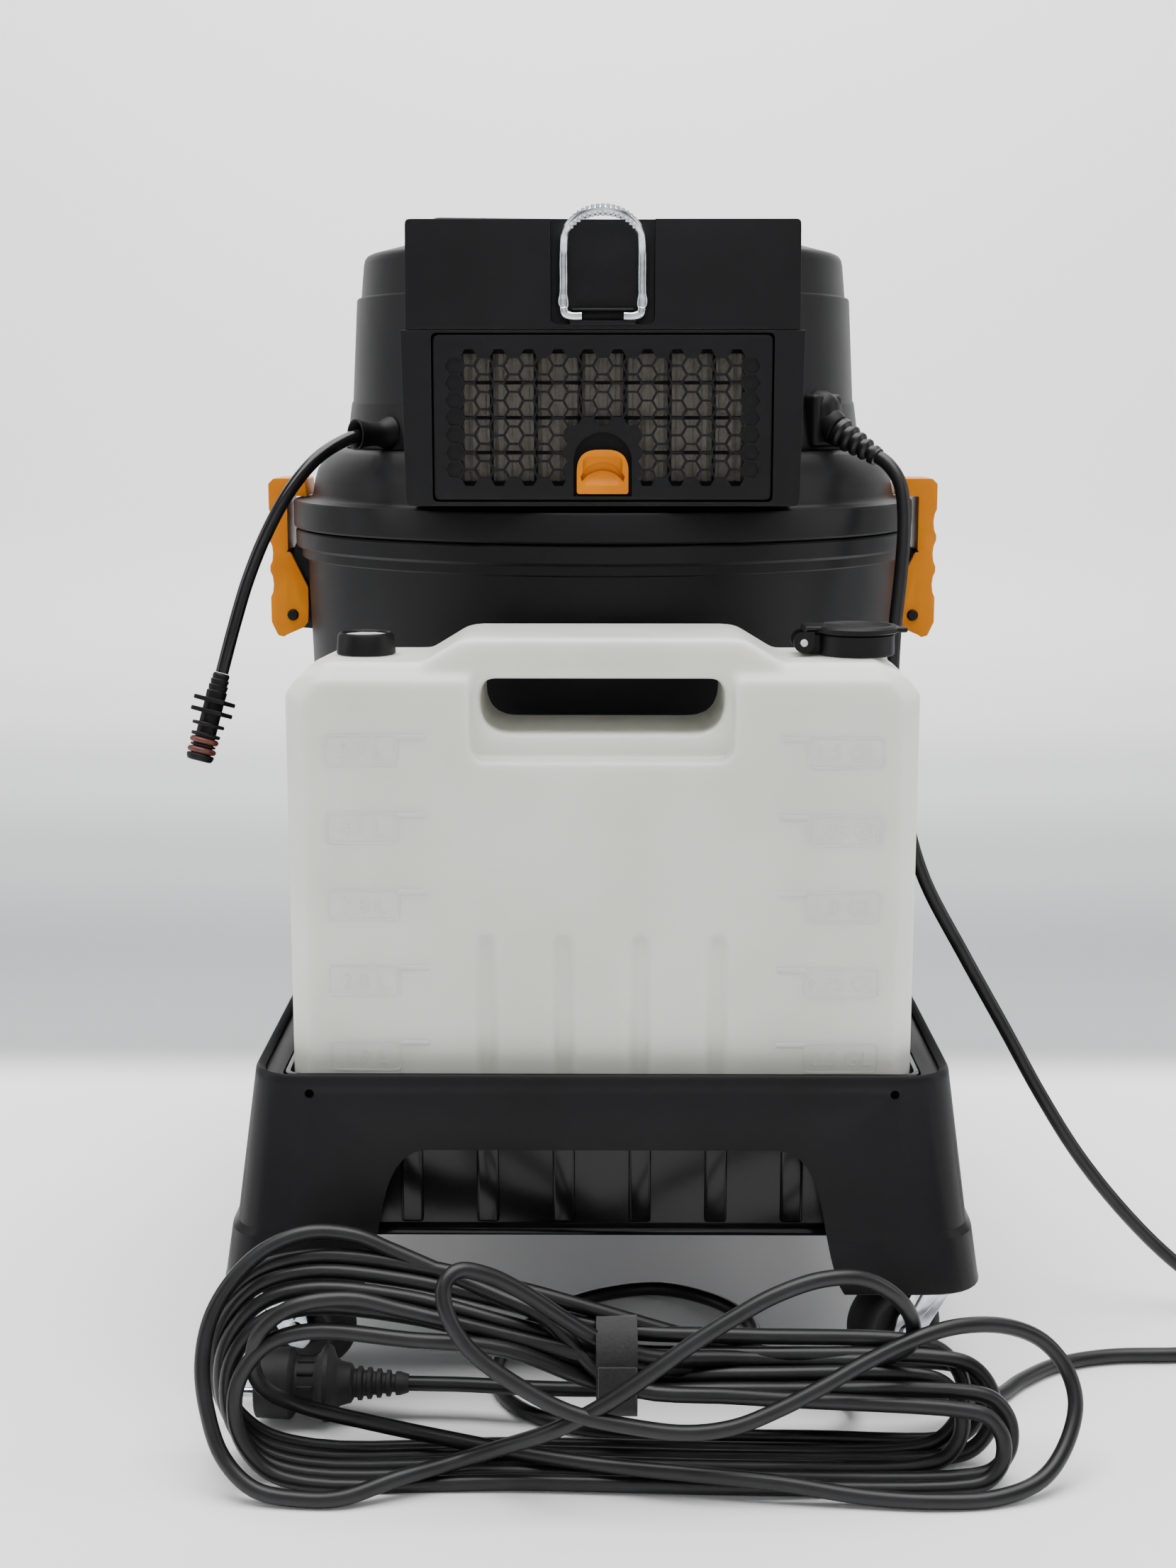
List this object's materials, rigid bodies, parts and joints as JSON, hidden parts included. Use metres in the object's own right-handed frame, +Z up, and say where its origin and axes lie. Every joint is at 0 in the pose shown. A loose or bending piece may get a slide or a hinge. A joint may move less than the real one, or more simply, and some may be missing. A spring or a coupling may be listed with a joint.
{
  "type": "carpet cleaner machine",
  "caption": "Wheeled spray-extraction carpet cleaner: drum, suction head with rear filter door, lift-out solution tank, side latches, casters, hose and mains lead.",
  "frame": {"origin": "on the floor, under the middle of the machine without its mains lead and solution hose", "axes": "+Z up; -Y is the rear of the machine, with the tank and the filter door; +X is on the right of a viewer looking at the rear"},
  "size_m": [0.5785, 0.5565, 0.5926],
  "materials": {
    "satin_black": "fine spark-eroded satin black polypropylene",
    "gloss_black": "smooth moulded black plastic",
    "rubber": "moulded black rubber and soft PVC",
    "brown_rubber": "red-brown seal rubber",
    "orange": "semi-gloss amber moulded plastic",
    "zinc": "bright zinc-plated steel",
    "filter_paper": "grey-beige pleated filter paper",
    "hdpe_natural": "translucent natural HDPE, blow moulded",
    "pvc_black": "black PVC cord sheath with a soft sheen",
    "hook_and_loop": "black hook-and-loop strap"
  },
  "bodies": {
    "machine": {"dolly_skirt": "satin_black", "tank_pocket": "gloss_black", "drum": "satin_black", "drum_gasket": "rubber", "vacuum_hose_inlet": "satin_black", "latch_pin_right": "satin_black", "latch_pin_left": "satin_black", "head_lower_housing": "satin_black", "head_upper_cover": "satin_black", "carry_handle": "satin_black", "switch_panel": "gloss_black", "filter_box": "satin_black", "hook_panel": "satin_black", "pleated_filter": "filter_paper", "motor_mount": "satin_black", "fan_housing": "satin_black", "suction_motor": "zinc", "solution_pump": "satin_black", "float_cage": "satin_black", "solution_hose_port": "satin_black", "solution_hose": "pvc_black", "hose_connector": "gloss_black", "o_ring_upper": "brown_rubber", "o_ring_lower": "brown_rubber", "cord_boss": "satin_black", "cord_boot": "rubber", "cord_lead": "pvc_black", "cord_hank": "pvc_black", "cord_tie": "hook_and_loop", "cord_floor_loop": "pvc_black", "mains_plug": "rubber", "cord_tail": "pvc_black"},
    "latch_right": {"side_latch_right": "orange"},
    "latch_left": {"side_latch_left": "orange"},
    "door": {"filter_door": "satin_black"},
    "door_tab": {"door_release_tab": "orange"},
    "hook": {"hose_hook": "zinc"},
    "suction_rocker": {"suction_switch": "gloss_black"},
    "pump_rocker": {"pump_switch": "gloss_black"},
    "tank": {"solution_tank": "hdpe_natural", "filler_collar": "gloss_black", "filler_lid_pin": "hdpe_natural"},
    "outlet_nut": {"outlet_cap": "gloss_black"},
    "filler_flap": {"filler_lid": "gloss_black"},
    "rotor": {"impeller": "zinc"},
    "float": {"shutoff_float": "orange"},
    "caster_rear_right": {"caster_fork_rear_right": "zinc", "caster_axle_rear_right": "zinc"},
    "wheel_rear_right": {"caster_wheel_rear_right": "rubber"},
    "caster_rear_left": {"caster_fork_rear_left": "zinc", "caster_axle_rear_left": "zinc"},
    "wheel_rear_left": {"caster_wheel_rear_left": "rubber"},
    "caster_front_right": {"caster_fork_front_right": "zinc", "caster_axle_front_right": "zinc"},
    "wheel_front_right": {"caster_wheel_front_right": "rubber"},
    "caster_front_left": {"caster_fork_front_left": "zinc", "caster_axle_front_left": "zinc"},
    "wheel_front_left": {"caster_wheel_front_left": "rubber"}
  },
  "joints": [
    {"name": "swivel_rear_right", "type": "hinge", "parent": "machine", "child": "caster_rear_right", "pos_m": [0.168, -0.1675, 0.058], "axis": [0, 0, 1], "continuous": true},
    {"name": "roll_rear_right", "type": "hinge", "parent": "caster_rear_right", "child": "wheel_rear_right", "pos_m": [0.14987, -0.17595, 0.024], "axis": [0.4226, -0.9063, 0], "continuous": true},
    {"name": "swivel_rear_left", "type": "hinge", "parent": "machine", "child": "caster_rear_left", "pos_m": [-0.168, -0.1675, 0.058], "axis": [0, 0, 1], "continuous": true},
    {"name": "roll_rear_left", "type": "hinge", "parent": "caster_rear_left", "child": "wheel_rear_left", "pos_m": [-0.14987, -0.17595, 0.024], "axis": [0.4226, 0.9063, 0], "continuous": true},
    {"name": "swivel_front_right", "type": "hinge", "parent": "machine", "child": "caster_front_right", "pos_m": [0.15, 0.165, 0.058], "axis": [0, 0, 1], "continuous": true},
    {"name": "roll_front_right", "type": "hinge", "parent": "caster_front_right", "child": "wheel_front_right", "pos_m": [0.13187, 0.15655, 0.024], "axis": [0.4226, -0.9063, 0], "continuous": true},
    {"name": "swivel_front_left", "type": "hinge", "parent": "machine", "child": "caster_front_left", "pos_m": [-0.15, 0.165, 0.058], "axis": [0, 0, 1], "continuous": true},
    {"name": "roll_front_left", "type": "hinge", "parent": "caster_front_left", "child": "wheel_front_left", "pos_m": [-0.13187, 0.15655, 0.024], "axis": [0.4226, 0.9063, 0], "continuous": true},
    {"name": "latch_right_swing", "type": "hinge", "parent": "machine", "child": "latch_right", "pos_m": [0.181, 0.0575, 0.367], "axis": [0, 1, 0], "range_deg": [0, 55]},
    {"name": "latch_left_swing", "type": "hinge", "parent": "machine", "child": "latch_left", "pos_m": [-0.181, 0.0575, 0.367], "axis": [0, -1, 0], "range_deg": [0, 55]},
    {"name": "filter_door_swing", "type": "hinge", "parent": "machine", "child": "door", "pos_m": [0, -0.118, 0.5195], "axis": [-1, 0, 0], "range_deg": [0, 80]},
    {"name": "door_tab_press", "type": "hinge", "parent": "door", "child": "door_tab", "pos_m": [0, -0.1158, 0.4452], "axis": [-1, 0, 0], "range_deg": [-2, 2.8], "stiffness_Nm_per_rad": 0.5},
    {"name": "hook_swing", "type": "hinge", "parent": "machine", "child": "hook", "pos_m": [0, -0.1195, 0.532], "axis": [1, 0, 0], "range_deg": [0, 90]},
    {"name": "suction_switch_rock", "type": "hinge", "parent": "machine", "child": "suction_rocker", "pos_m": [-0.022, 0.1495, 0.5825], "axis": [1, 0, 0], "range_deg": [0, 9]},
    {"name": "pump_switch_rock", "type": "hinge", "parent": "machine", "child": "pump_rocker", "pos_m": [0.022, 0.1495, 0.5825], "axis": [1, 0, 0], "range_deg": [0, 9]},
    {"name": "tank_lift", "type": "slide", "parent": "machine", "child": "tank", "axis": [0, 0, 1], "range_m": [0, 0.07]},
    {"name": "outlet_cap_turn", "type": "hinge", "parent": "tank", "child": "outlet_nut", "pos_m": [-0.116, -0.16425, 0.374], "axis": [0, 0, 1], "continuous": true},
    {"name": "filler_lid_flip", "type": "hinge", "parent": "tank", "child": "filler_flap", "pos_m": [0.098, -0.16425, 0.3748], "axis": [0, -1, 0], "range_deg": [0, 110]},
    {"name": "rotor_spin", "type": "hinge", "parent": "machine", "child": "rotor", "pos_m": [0, 0.0575, 0.48], "axis": [0, 0, 1], "continuous": true},
    {"name": "float_rise", "type": "slide", "parent": "machine", "child": "float", "axis": [0, 0, 1], "range_m": [0, 0.026]}
  ]
}
